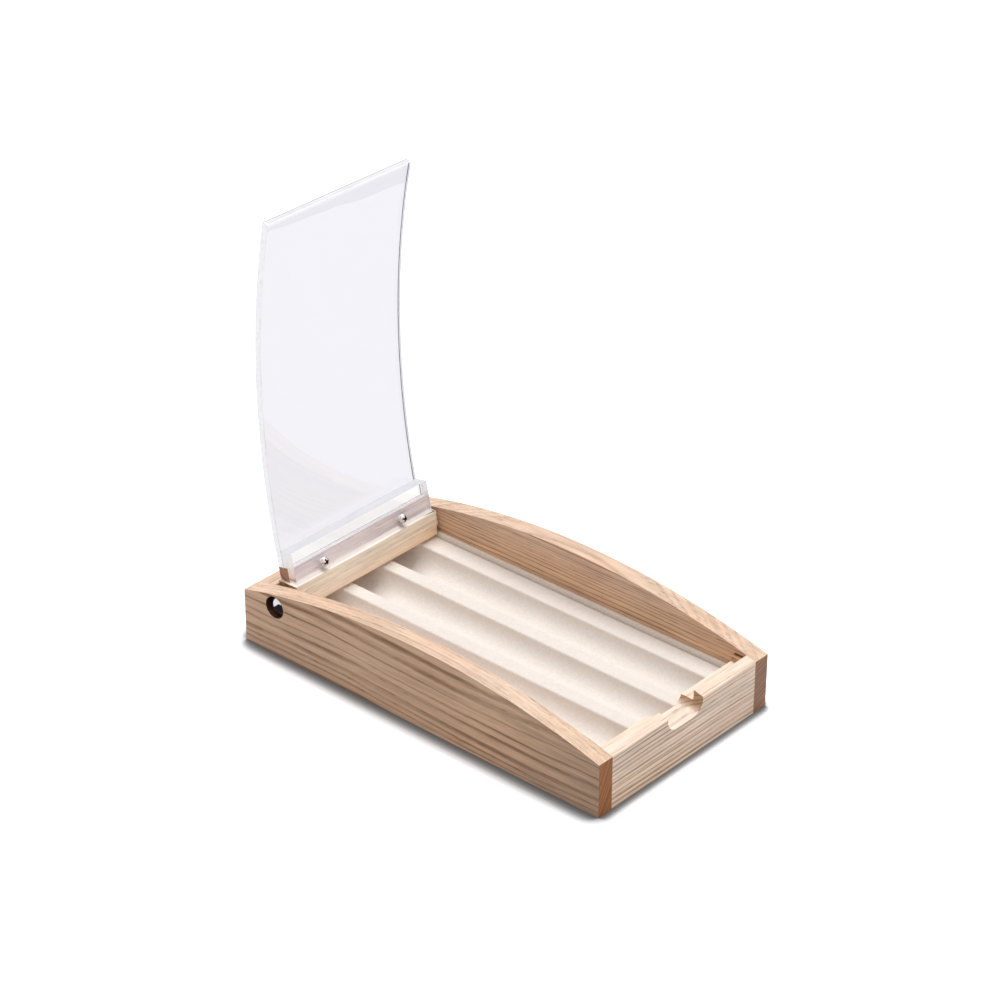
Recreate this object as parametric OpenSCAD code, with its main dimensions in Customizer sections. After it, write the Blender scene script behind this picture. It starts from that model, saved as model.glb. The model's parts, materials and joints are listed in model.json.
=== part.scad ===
// Fountain pen case: an ash box with arched side walls, a flocked tray for
// three pens and a bent clear lid that swings up on a wooden hinge block.
// Millimetres. The box stands on z = 0, its finger notch faces -Y and its
// hinge is at the +Y end. The lid is drawn open, leaning on the back wall.

/* [Case] */
// overall length, from the notched front to the hinge end
case_length = 200; // [170:1:240]
// overall width over both side walls
case_width = 109.4; // [100:0.2:130]
// height of the side walls at their front and back ends
end_height = 25.4; // [23.8:0.1:30]
// how much higher the arched side walls are at mid length
arch_rise = 13.2; // [10:0.1:16]
// thickness of each side wall
side_t = 8.3; // [7:0.1:10]
// thickness of the front wall
front_t = 11.2; // [10:0.1:13]
// thickness of the back wall
back_t = 10.8; // [10:0.1:11]
// full-height lip of the front wall, in front of the lid's rest
front_lip = 5; // [4:0.1:6]
// length of the tongues that the end walls have in the side walls
tongue_len = 3.2; // [2.5:0.1:4]
// thickness of the back wall's tongues
back_tongue_t = 5; // [4:0.1:6]
// how far the back wall's tongues stop below the ends of the side walls
back_tongue_drop = 3; // [2:0.1:5]

/* [Finger notch] */
// width of the scoop in the front wall
notch_width = 22.6; // [18:0.2:28]
// depth of the scoop's floor below the ends of the side walls
notch_drop = 7; // [6:0.1:9.4]
// radius of the scoop's lower corners
notch_corner = 5.8; // [4:0.1:6]

/* [Base] */
// thickness of the bottom board
base_t = 4; // [3:0.1:5]
// how far the bottom board laps under each wall
base_lap = 4; // [3:0.1:4.6]

/* [Tray] */
// how far the tray's flat ridges lie below the ends of the side walls
ridge_drop = 9; // [8.9:0.1:10.4]
// radius of each pen trough
trough_r = 9; // [8:0.1:10]
// distance between the troughs' centre lines
trough_pitch = 25.3; // [22:0.1:26]
// thickness of the packing strips along the side walls
packer_t = 1.5; // [1.2:0.1:1.6]
// how far the packing strips stand above the ridges
packer_rise = 2.2; // [1:0.1:2.4]
// clearance round the tray
tray_fit = 0.2; // [0.1:0.05:0.4]

/* [Hinge] */
// pivot line, measured forward from the case's back face
pivot_from_back = 18.4; // [18:0.1:19]
// how far the pivot line lies below the ends of the side walls
pivot_drop = 1.9; // [1.4:0.1:2]
// how far the drawn lid is swung up from level with the side walls
open_deg = 92.5; // [91:0.1:95]
// gap between each end of the hinge block and its side wall
end_gap = 2.2; // [1.8:0.1:3]
// radius of the block's rounded back, about the pivot line
knuckle_r = 6.6; // [6.2:0.1:6.8]
// wood in front of the pivot line when the lid is shut
knuckle_front = 6.2; // [5.6:0.1:6.4]
// wood below the pivot line when the lid is shut
knuckle_under = 3.4; // [3:0.1:4]
// reach of the block's thin tongue, forward from the pivot line
tongue_reach = 11.8; // [11.2:0.1:13]
// thickness of the block's tongue
tongue_t = 5.4; // [4.5:0.1:6]
// gap left between the open block and the bevel it leans on
stop_gap = 0.15; // [0.1:0.05:0.3]

/* [Hinge pins] */
// diameter of the hinge pins
pin_d = 3.2; // [2.8:0.1:3.4]
// radial running clearance of the pins in the hinge block
pin_play = 0.05; // [0.02:0.01:0.1]
// length of pin inside the hinge block
pin_reach = 10; // [6:0.5:14]
// room past the end of each pin in its bore
pin_end_room = 0.4; // [0.2:0.1:1]
// diameter of the recess for each pin's head
cup_d = 10.4; // [9.4:0.1:11]
// depth of that recess
cup_depth = 3.4; // [3:0.1:4]
// gap between each pin's domed head and the side of its recess
head_play = 0.3; // [0.2:0.05:0.8]
// thickness of the rim under the dome
pin_rim_h = 0.6; // [0.4:0.1:0.8]
// height of the dome
pin_dome_h = 2; // [1.5:0.1:2.2]
// outside diameter of the spacer rings
spacer_d = 7; // [6:0.1:8]
// running gap between each spacer ring and the hinge block
spacer_gap = 0.3; // [0.2:0.05:0.4]

/* [Lid] */
// width of the clear lid
lid_width = 85.4; // [80:0.2:86]
// thickness of the bent clear sheet
sheet_t = 3.2; // [3:0.1:4]
// how far the sheet lies below the side walls' arch
lid_sink = 0.2; // [0.1:0.05:0.5]
// gap between the sheet's front end and the front lip
lid_front_gap = 2; // [1.5:0.1:2.5]
// room under the sheet's front end before it drops onto its rest
lid_rest_drop = 1.7; // [1.5:0.1:2]
// thickness of the clear splice strip
strip_t = 6.4; // [5.8:0.1:7]
// how far the splice strip laps over the sheet
strip_lap = 7.7; // [6:0.1:10]

/* [Lid screws] */
// distance between the two screws
screw_spacing = 49.6; // [40:0.2:60]
// distance from the screws forward to the tongue's end
screw_set = 3.6; // [3.2:0.1:4]
// diameter of the screw shanks
screw_d = 2.4; // [2:0.1:2.6]
// radial clearance of the shanks in the splice strip
screw_play = 0.1; // [0.05:0.05:0.2]
// length of the screws in the wood
screw_bite = 4.2; // [3.5:0.1:4.3]
// diameter of the round heads
screw_head_d = 4.4; // [4:0.1:5]
// height of the round heads
screw_head_h = 1.6; // [1.3:0.1:2]
// width of each arm of the cross recess
cross_w = 0.6; // [0.4:0.1:0.8]
// length of each arm of the cross recess, tip to tip
cross_len = 2.4; // [2:0.1:2.6]
// depth of the cross recess
cross_depth = 0.8; // [0.5:0.1:1]

/* [Hidden] */
$fn = 96;
// how far a cut runs past the face that it opens
over = 1;
// reach of a cut that clears everything beyond its face
clear_of_all = 60;
// facets of the wide arch, and of the small screws
arch_fn = 720;
screw_fn = 48;
inner_w = case_width - 2 * side_t;
half_l = case_length / 2;
tall = end_height + arch_rise + over;
arch_r = case_length * case_length / (8 * arch_rise) + arch_rise / 2;
arch_cz = end_height + arch_rise - arch_r;
front_in_y = -half_l + front_t;
back_in_y = half_l - back_t;
pivot_y = half_l - pivot_from_back;
pivot_z = end_height - pivot_drop;
notch_floor = end_height - notch_drop;
tray_top = end_height - ridge_drop;
block_half = inner_w / 2 - end_gap;
lid_half = lid_width / 2;
lid_r = arch_r - lid_sink;
sheet_in_r = lid_r - sheet_t;
strip_in_r = sheet_in_r - strip_t;
lid_front_y = -half_l + front_lip + lid_front_gap;
tongue_y = pivot_y - tongue_reach;
ledge_y = pivot_y - knuckle_front;
tongue_a = asin(tongue_y / lid_r);
lid_front_a = asin(-lid_front_y / lid_r);
rest_z = arch_cz + sheet_in_r * cos(lid_front_a) - lid_rest_drop;
back_tongue_z = end_height - back_tongue_drop;
pivot_depth = lid_r - sqrt(pivot_y * pivot_y + (pivot_z - arch_cz) * (pivot_z - arch_cz));
lean_deg = open_deg - 90 + asin(pivot_y / lid_r);
screw_a = asin((tongue_y + screw_set) / lid_r);
strip_at_tongue = sheet_t + strip_t - tongue_t;
screw_bore_d = screw_d + 2 * screw_play;
cup_x = case_width / 2 - cup_depth;
pin_head_d = cup_d - 2 * head_play;
dome_r = (pin_head_d * pin_head_d / 4 + pin_dome_h * pin_dome_h) / (2 * pin_dome_h);
screw_r = (screw_head_d * screw_head_d / 4 + screw_head_h * screw_head_h) / (2 * screw_head_h);
ash = [0.80, 0.66, 0.52];
flock = [0.93, 0.91, 0.88];
clear = [0.93, 0.93, 0.97, 0.35];
steel = [0.80, 0.81, 0.83];

// everything under the side walls' arch, or under a smaller circle about its centre
module under_arch(r) {
    translate([-case_width, 0, arch_cz])
        rotate([0, 90, 0])
            cylinder(r = r, h = 2 * case_width, $fn = arch_fn);
}

// a bent plate that follows the arch, with its ends square to the curve
module arc_band(r_in, r_out, y_low, y_high, half_w) {
    a_low = 90 - asin(y_high / lid_r);
    a_high = 90 - asin(y_low / lid_r);
    translate([-half_w, 0, arch_cz])
        rotate([90, 0, 90])
            rotate([0, 0, a_low])
                rotate_extrude(angle = a_high - a_low, $fn = arch_fn)
                    translate([r_in, 0])
                        square([r_out - r_in, 2 * half_w]);
}

// swings a piece of the shut lid up to where it leans on the back wall
module opened() {
    translate([0, pivot_y, pivot_z])
        rotate([-open_deg, 0, 0])
            translate([0, -pivot_y, -pivot_z])
                children();
}

// room for the bottom board, let into the underside of all four walls
module base_pocket() {
    translate([-inner_w / 2 - base_lap, front_in_y - base_lap, -over])
        cube([inner_w + 2 * base_lap, back_in_y - front_in_y + 2 * base_lap, base_t + over]);
}

// a rod or bore along the pivot line
module x_rod(x_from, x_to, d) {
    translate([x_from, pivot_y, pivot_z])
        rotate([0, 90, 0])
            cylinder(d = d, h = x_to - x_from);
}

module finger_scoop() {
    flat = notch_width / 2 - notch_corner;
    for (sx = [-1, 1])
        translate([sx * flat, -half_l - over, notch_floor + notch_corner])
            rotate([-90, 0, 0])
                cylinder(r = notch_corner, h = front_t + 2 * over);
    translate([-flat, -half_l - over, notch_floor])
        cube([2 * flat, front_t + 2 * over, tall]);
    translate([-notch_width / 2, -half_l - over, notch_floor + notch_corner])
        cube([notch_width, front_t + 2 * over, tall]);
}

module side_wall_right_hand() {
    difference() {
        intersection() {
            translate([inner_w / 2, -half_l, 0])
                cube([side_t, case_length, tall]);
            under_arch(arch_r);
        }
        base_pocket();
        translate([inner_w / 2 - over, -half_l + front_lip, -over])
            cube([tongue_len + over, front_t - front_lip, end_height + over]);
        translate([inner_w / 2 - over, back_in_y, -over])
            cube([tongue_len + over, back_tongue_t, back_tongue_z + over]);
        x_rod(inner_w / 2 - over, case_width / 2 + over, pin_d);
        x_rod(cup_x, case_width / 2 + over, cup_d);
    }
}

module left_side_wall() {
    color(ash)
        mirror([1, 0, 0])
            side_wall_right_hand();
}

module right_side_wall() {
    color(ash)
        side_wall_right_hand();
}

module front_wall() {
    color(ash)
        difference() {
            union() {
                intersection() {
                    translate([-inner_w / 2, -half_l, 0])
                        cube([inner_w, front_lip, tall]);
                    under_arch(arch_r);
                }
                translate([-inner_w / 2 - tongue_len, -half_l + front_lip, 0])
                    cube([inner_w + 2 * tongue_len, front_t - front_lip, rest_z]);
            }
            base_pocket();
            finger_scoop();
        }
}

module back_wall() {
    color(ash)
        difference() {
            union() {
                intersection() {
                    translate([-inner_w / 2, back_in_y, 0])
                        cube([inner_w, back_t, tall]);
                    under_arch(arch_r);
                }
                translate([-inner_w / 2 - tongue_len, back_in_y, 0])
                    cube([inner_w + 2 * tongue_len, back_tongue_t, back_tongue_z]);
            }
            base_pocket();
            lid_bevel();
        }
}

// the slope that the open lid leans on
module lid_bevel() {
    translate([0, pivot_y, pivot_z])
        rotate([-lean_deg, 0, 0])
            translate([-inner_w, -clear_of_all, 0])
                cube([2 * inner_w, clear_of_all + pivot_depth + stop_gap, clear_of_all]);
}

module base_panel() {
    color(ash)
        translate([-inner_w / 2 - base_lap, front_in_y - base_lap, 0])
            cube([inner_w + 2 * base_lap, back_in_y - front_in_y + 2 * base_lap, base_t]);
}

module pen_tray() {
    half = inner_w / 2 - packer_t - tray_fit;
    color(flock)
        difference() {
            translate([-half, front_in_y + tray_fit, base_t])
                cube([2 * half, back_in_y - front_in_y - 2 * tray_fit, tray_top - base_t]);
            for (n = [-1, 0, 1])
                translate([n * trough_pitch, front_in_y - over, tray_top])
                    rotate([-90, 0, 0])
                        cylinder(r = trough_r, h = back_in_y - front_in_y + 2 * over);
        }
}

module packer_right_hand() {
    translate([inner_w / 2 - packer_t, front_in_y + tray_fit, base_t])
        cube([packer_t, back_in_y - front_in_y - 2 * tray_fit, tray_top + packer_rise - base_t]);
}

module left_tray_packer() {
    color(flock)
        mirror([1, 0, 0])
            packer_right_hand();
}

module right_tray_packer() {
    color(flock)
        packer_right_hand();
}

// the left (-1) or right (1) screw's own frame, on the splice strip's inner face
module at_screw(side) {
    translate([side * screw_spacing / 2, 0, arch_cz])
        rotate([-screw_a, 0, 0])
            translate([0, 0, strip_in_r])
                children();
}

module hinge_block() {
    color(ash)
        opened()
            difference() {
                intersection() {
                    under_arch(lid_r);
                    union() {
                        block_knuckle();
                        block_tongue();
                    }
                }
                x_rod(-block_half - over, -block_half + pin_reach + pin_end_room, pin_d + 2 * pin_play);
                x_rod(block_half - pin_reach - pin_end_room, block_half + over, pin_d + 2 * pin_play);
                for (side = [-1, 1])
                    at_screw(side)
                        cylinder(d = screw_d, h = strip_at_tongue + screw_bite, $fn = screw_fn);
            }
}

// the thick part of the block that turns on the pins
module block_knuckle() {
    intersection() {
        translate([-block_half, ledge_y, pivot_z - knuckle_under])
            cube([2 * block_half, knuckle_front + knuckle_r + over, clear_of_all]);
        union() {
            x_rod(-block_half, block_half, 2 * knuckle_r);
            translate([-block_half, ledge_y, pivot_z - knuckle_under])
                cube([2 * block_half, knuckle_front, clear_of_all]);
        }
    }
}

// the thin part of the block that carries the clear lid
module block_tongue() {
    difference() {
        translate([0, 0, arch_cz])
            rotate([-tongue_a, 0, 0])
                translate([-lid_half, 0, lid_r - 2 * tongue_t])
                    cube([lid_width, tongue_reach - knuckle_front + 2 * over, 3 * tongue_t]);
        under_arch(lid_r - tongue_t);
    }
}

module lid_sheet() {
    color(clear)
        opened()
            arc_band(sheet_in_r, lid_r, lid_front_y, tongue_y, lid_half);
}

module lid_strip() {
    color(clear)
        opened()
            difference() {
                arc_band(strip_in_r, sheet_in_r, tongue_y - strip_lap, ledge_y + 3 * over, lid_half);
                arc_band(lid_r - tongue_t, lid_r, tongue_y, ledge_y + 5 * over, lid_half + over);
                translate([-inner_w, ledge_y, 0])
                    cube([2 * inner_w, clear_of_all, clear_of_all]);
                for (side = [-1, 1])
                    at_screw(side)
                        translate([0, 0, -over])
                            cylinder(d = screw_bore_d, h = strip_at_tongue + 2 * over, $fn = screw_fn);
            }
}

module lid_screw(side) {
    color(steel)
        opened()
            at_screw(side) {
                difference() {
                    intersection() {
                        translate([0, 0, screw_r - screw_head_h])
                            sphere(r = screw_r, $fn = screw_fn);
                        translate([0, 0, -screw_head_h - over])
                            cylinder(d = screw_head_d + over, h = screw_head_h + over, $fn = screw_fn);
                    }
                    for (a = [0, 90])
                        rotate([0, 0, a])
                            translate([-cross_len / 2, -cross_w / 2, -screw_head_h - over])
                                cube([cross_len, cross_w, over + cross_depth]);
                }
                cylinder(d = screw_d, h = strip_at_tongue + screw_bite, $fn = screw_fn);
            }
}

module left_lid_screw() {
    lid_screw(-1);
}

module right_lid_screw() {
    lid_screw(1);
}

module pin_right_hand() {
    translate([cup_x, pivot_y, pivot_z])
        rotate([0, 90, 0]) {
            translate([0, 0, block_half - pin_reach - cup_x])
                cylinder(d = pin_d, h = cup_x - block_half + pin_reach + pin_rim_h / 2);
            intersection() {
                cylinder(d = pin_head_d, h = pin_rim_h + pin_dome_h + over);
                translate([0, 0, pin_rim_h + pin_dome_h - dome_r])
                    sphere(r = dome_r);
            }
        }
}

module left_hinge_pin() {
    color(steel)
        mirror([1, 0, 0])
            pin_right_hand();
}

module right_hinge_pin() {
    color(steel)
        pin_right_hand();
}

module spacer_right_hand() {
    difference() {
        x_rod(block_half + spacer_gap, inner_w / 2, spacer_d);
        x_rod(block_half - over, inner_w / 2 + over, pin_d);
    }
}

module left_hinge_spacer() {
    color(steel)
        mirror([1, 0, 0])
            spacer_right_hand();
}

module right_hinge_spacer() {
    color(steel)
        spacer_right_hand();
}

left_side_wall();
right_side_wall();
front_wall();
back_wall();
base_panel();
pen_tray();
left_tray_packer();
right_tray_packer();
hinge_block();
lid_sheet();
lid_strip();
left_lid_screw();
right_lid_screw();
left_hinge_pin();
right_hinge_pin();
left_hinge_spacer();
right_hinge_spacer();
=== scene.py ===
import json
import math

import bmesh
import bpy
from mathutils import Matrix, Quaternion, Vector


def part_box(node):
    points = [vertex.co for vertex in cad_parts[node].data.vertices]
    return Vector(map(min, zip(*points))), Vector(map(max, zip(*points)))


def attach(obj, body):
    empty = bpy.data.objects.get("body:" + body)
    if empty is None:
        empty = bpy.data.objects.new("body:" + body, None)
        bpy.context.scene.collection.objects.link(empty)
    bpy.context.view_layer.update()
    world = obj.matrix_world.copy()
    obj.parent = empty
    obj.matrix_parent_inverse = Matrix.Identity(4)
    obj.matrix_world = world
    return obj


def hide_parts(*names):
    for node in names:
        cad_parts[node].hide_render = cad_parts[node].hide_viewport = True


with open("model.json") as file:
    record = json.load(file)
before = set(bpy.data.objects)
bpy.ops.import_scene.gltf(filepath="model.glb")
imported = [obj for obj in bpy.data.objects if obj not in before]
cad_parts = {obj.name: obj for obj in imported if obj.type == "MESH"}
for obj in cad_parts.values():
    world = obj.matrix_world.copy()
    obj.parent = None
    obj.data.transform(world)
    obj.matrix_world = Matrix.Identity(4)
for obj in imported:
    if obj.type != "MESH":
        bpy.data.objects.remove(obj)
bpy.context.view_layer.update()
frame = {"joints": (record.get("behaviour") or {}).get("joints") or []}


def mm(length):
    """A length in millimetres as metres."""
    return length * 0.001


# ---------------------------------------------------------------- sizes
# The case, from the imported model. The case lies along Y with its notch at -Y.
wall_low, wall_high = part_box("right_side_wall")
case_half = wall_high.x
inner_half = wall_low.x
half_length = wall_high.y
arch_top = wall_high.z
front_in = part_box("front_wall")[1].y
back_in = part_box("back_wall")[0].y
tray_low, tray_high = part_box("pen_tray")
packer_low, packer_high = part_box("right_tray_packer")
base_low, base_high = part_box("base_panel")
pivot = Vector(frame["joints"][0]["pos_m"])

# The arch that the side walls and the shut lid follow.
end_height = mm(25.4)
arch_rise = arch_top - end_height
arch_r = half_length ** 2 / (2 * arch_rise) + arch_rise / 2
arch_cz = arch_top - arch_r

# Front and back walls.
front_lip = mm(5)
tongue_len = mm(3.2)
tongue_drop = mm(0.9)
back_tongue_t = mm(5)
back_tongue_top = end_height - mm(3)
notch_half = mm(11.3)
notch_floor = end_height - mm(7)
notch_corner = mm(5.8)

# Tray.
trough_r = mm(9)
trough_pitch = mm(25.3)
ridge_round = mm(0.9)

# Hinge block, in the shut position.
open_deg = 92.5
knuckle_r = mm(6.6)
knuckle_front = mm(6.2)
knuckle_under = mm(3.4)
tongue_reach = mm(11.8)
tongue_t = mm(5.4)
block_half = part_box("hinge_block")[1].x
stop_gap = mm(0.15)

# Hinge pins and spacers.
pin_r = mm(1.6)
bore_r = mm(1.65)
pin_reach = mm(10)
bore_end_gap = mm(0.4)
pin_tip_r = mm(1.28)
pin_tip_len = mm(0.4)
cup_r = mm(5.2)
cup_depth = mm(3.4)
head_r = cup_r - mm(0.3)
head_edge = mm(0.1)
rim_h = mm(0.6)
dome_h = mm(2)
spacer_r = mm(3.5)
spacer_gap = mm(0.3)
spacer_edge = mm(0.2)

# Clear lid, in the shut position.
lid_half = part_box("lid_sheet")[1].x
sheet_t = mm(3.2)
lid_sink = mm(0.2)
lid_front_gap = mm(2)
lid_rest_drop = mm(1.7)
strip_t = mm(6.4)
strip_lap = mm(7.7)
film_gap = mm(0.03)
skin_gap = mm(0.015)

# Lid screws.
screw_half_spacing = mm(24.8)
screw_set = mm(3.6)
screw_r = mm(1.2)
screw_bore_r = mm(1.3)
screw_bite = mm(4.2)
screw_head_r = mm(2.2)
screw_head_h = mm(1.6)
cross_w = mm(0.8)
cross_len = mm(2.9)
cross_depth = mm(0.8)
cross_turn_deg = 20
pit_r = mm(0.9)
pit_floor_r = mm(0.27)
pit_depth = mm(1.1)

lid_r = arch_r - lid_sink
sheet_in_r = lid_r - sheet_t
strip_in_r = sheet_in_r - strip_t
lid_front = -half_length + front_lip + lid_front_gap
tongue_y = pivot.y - tongue_reach
ledge_y = pivot.y - knuckle_front
tongue_a = math.asin(tongue_y / lid_r)
lid_front_a = math.asin(lid_front / lid_r)
rest_z = arch_cz + sheet_in_r * math.cos(lid_front_a) - lid_rest_drop
screw_a = math.asin((tongue_y + screw_set) / lid_r)

# Widths of the eased edges.
soft_edge = mm(0.5)
worn_edge = mm(1.1)
joint_edge = mm(0.12)
polished_edge = mm(0.25)
top_edge = mm(0.8)
packer_edge = mm(0.3)
board_edge = mm(0.2)

# How far a cut runs past the face that it opens, how deep a joined part starts in the other,
# and a length that reaches past everything.
over = mm(1)
root = mm(2)
clear_of_all = mm(60)

# How near to a face a point counts as on it, as a rule and where other faces are close.
near = mm(0.1)
nearer = mm(0.05)

# A face looks squarely in a direction when its normal's share of it is above this.
squarely = 0.97


# ---------------------------------------------------------------- mesh helpers
def new_object(name, mesh_builder):
    """An object in the scene from a bmesh, with its faces turned outwards."""
    bmesh.ops.recalc_face_normals(mesh_builder, faces=mesh_builder.faces)
    mesh = bpy.data.meshes.new(name)
    mesh_builder.to_mesh(mesh)
    mesh_builder.free()
    made = bpy.data.objects.new(name, mesh)
    bpy.context.scene.collection.objects.link(made)
    return made


def prism(name, outline, axis, low, high):
    """A solid with that outline across the axis: (y, z) pairs for X and (x, z) pairs for Y."""
    builder = bmesh.new()
    ends = []
    for place in (low, high):
        if axis == "X":
            ends.append([builder.verts.new((place, a, b)) for a, b in outline])
        else:
            ends.append([builder.verts.new((a, place, b)) for a, b in outline])
    builder.faces.new(ends[0])
    builder.faces.new(ends[1])
    count = len(outline)
    for i in range(count):
        j = (i + 1) % count
        builder.faces.new((ends[0][i], ends[0][j], ends[1][j], ends[1][i]))
    return new_object(name, builder)


def block(name, low, high):
    """A box between two corners."""
    corners = [(low[1], low[2]), (high[1], low[2]), (high[1], high[2]), (low[1], high[2])]
    return prism(name, corners, "X", low[0], high[0])


def circle_points(centre, radius, first_deg, last_deg, steps):
    """Points on an arc, in the order of their angles."""
    points = []
    for i in range(steps + 1):
        a = math.radians(first_deg + (last_deg - first_deg) * i / steps)
        points.append((centre[0] + radius * math.cos(a), centre[1] + radius * math.sin(a)))
    return points


def x_rod(name, radius, low, high, steps=64):
    """A round rod along the pivot line."""
    outline = circle_points((pivot.y, pivot.z), radius, 0, 360, steps)[:-1]
    return prism(name, outline, "X", low, high)


def ring_points(radius, first_a, last_a, steps):
    """(y, z) points on a circle about the arch's centre, between two angles from the vertical."""
    points = []
    for i in range(steps + 1):
        a = first_a + (last_a - first_a) * i / steps
        points.append((radius * math.sin(a), arch_cz + radius * math.cos(a)))
    return points


def arch_points(radius, first_y, last_y, steps):
    """(y, z) points on a circle about the arch's centre, between two places along the case."""
    return ring_points(radius, math.asin(first_y / radius), math.asin(last_y / radius), steps)


def ball_radius(rim_r, height):
    """The radius of the ball that a dome is cut from."""
    return (rim_r ** 2 + height ** 2) / (2 * height)


def dome_profile(rim_r, height, steps):
    """(radius, height) pairs over a dome, from its rim at height 0 to its top."""
    ball = ball_radius(rim_r, height)
    span = math.asin(rim_r / ball)
    profile = []
    for i in range(steps + 1):
        a = span * (1 - i / steps)
        profile.append((ball * math.sin(a), height - ball + ball * math.cos(a)))
    return profile


def lathe(name, profile, steps):
    """A solid turned about the Z axis from (radius, height) pairs. A radius of 0 closes it."""
    builder = bmesh.new()
    rings = []
    for radius, height in profile:
        if radius == 0:
            rings.append([builder.verts.new((0, 0, height))])
            continue
        ring = []
        for i in range(steps):
            a = 2 * math.pi * i / steps
            ring.append(builder.verts.new((radius * math.cos(a), radius * math.sin(a), height)))
        rings.append(ring)
    pairs = list(zip(rings, rings[1:]))
    is_tube = profile[0][0] != 0
    if is_tube:
        pairs.append((rings[-1], rings[0]))
    for one, two in pairs:
        for i in range(steps):
            j = (i + 1) % steps
            if len(one) == 1:
                builder.faces.new((one[0], two[i], two[j]))
            elif len(two) == 1:
                builder.faces.new((one[i], one[j], two[0]))
            else:
                builder.faces.new((one[i], one[j], two[j], two[i]))
    return new_object(name, builder)


def bake(made):
    """Applies the object's modifiers."""
    depsgraph = bpy.context.evaluated_depsgraph_get()
    mesh = bpy.data.meshes.new_from_object(made.evaluated_get(depsgraph))
    old = made.data
    made.modifiers.clear()
    made.data = mesh
    bpy.data.meshes.remove(old)
    mesh.name = made.name


def combine(made, others, operation):
    """Cuts the others from a solid, or joins them to it, one at a time."""
    for other in others:
        modifier = made.modifiers.new("combine", "BOOLEAN")
        modifier.operation = operation
        modifier.solver = "EXACT"
        modifier.object = other
        bake(made)
        bpy.data.objects.remove(other)


def turn(made, matrix):
    """Moves an object's mesh and leaves the object itself at the origin."""
    made.data.transform(matrix)


def ease(made, width, rule=None):
    """Rounds the sharp edges. rule(middle) gives the share of the width that an edge gets."""
    flat_deg = 0.05
    sharp_deg = 32
    builder = bmesh.new()
    builder.from_mesh(made.data)
    bmesh.ops.remove_doubles(builder, verts=builder.verts, dist=mm(0.001))
    bmesh.ops.dissolve_limit(
        builder, angle_limit=math.radians(flat_deg), verts=builder.verts, edges=builder.edges
    )
    weights = builder.edges.layers.float.new("bevel_weight_edge")
    for edge in builder.edges:
        if len(edge.link_faces) != 2:
            continue
        if edge.calc_face_angle() > math.radians(sharp_deg):
            middle = (edge.verts[0].co + edge.verts[1].co) / 2
            edge[weights] = 1.0 if rule is None else rule(middle)
    builder.to_mesh(made.data)
    builder.free()
    modifier = made.modifiers.new("ease", "BEVEL")
    modifier.width = width
    modifier.segments = 3
    modifier.limit_method = "WEIGHT"
    modifier.miter_outer = "MITER_ARC"
    modifier.use_clamp_overlap = True
    bake(made)
    smooth(made)


def smooth(made, sharp_deg=30):
    """Smooth shading, with flat faces kept flat and hard edges kept hard."""
    made.data.shade_smooth()
    made.data.set_sharp_from_angle(angle=math.radians(sharp_deg))
    modifier = made.modifiers.new("normals", "WEIGHTED_NORMAL")
    modifier.keep_sharp = True
    modifier.weight = 80


def finishes(made, *pairs):
    """Gives faces further materials: each pair is a material and its picks(centre, normal)."""
    made.data.materials.clear()
    made.data.materials.append(None)
    for material, _ in pairs:
        made.data.materials.append(material)
    for face in made.data.polygons:
        face.material_index = 0
        for index, (_, picks) in enumerate(pairs, 1):
            if picks(face.center, face.normal):
                face.material_index = index
                break


def hand(side):
    """The word for the side at -X or +X."""
    return "left" if side < 0 else "right"


def opened(made):
    """Swings a piece of the shut lid up to where it stands at rest."""
    swing = Matrix.Rotation(math.radians(-open_deg), 4, "X")
    turn(made, Matrix.Translation(pivot) @ swing @ Matrix.Translation(-pivot))


def dress(made, body, material, slot_name, *nodes):
    """Gives a piece its body and its finish, and hides the imported nodes that it stands for."""
    if len(made.data.materials) == 0:
        made.data.materials.append(material)
    made.data.materials[0] = material
    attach(made, body)
    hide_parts(*nodes)


# ---------------------------------------------------------------- material helpers
def colour(red, green, blue):
    """A display colour from 0 to 255 as the linear colour that shaders take."""
    channels = []
    for value in (red, green, blue):
        c = value / 255
        channels.append(c / 12.92 if c <= 0.04045 else ((c + 0.055) / 1.055) ** 2.4)
    return (*channels, 1.0)


def linear_grey(share):
    """A grey that sends back that share of the light."""
    return (share, share, share, 1.0)


def darker(tint, share):
    """A linear colour at a share of its brightness."""
    return (tint[0] * share, tint[1] * share, tint[2] * share, 1.0)


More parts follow.
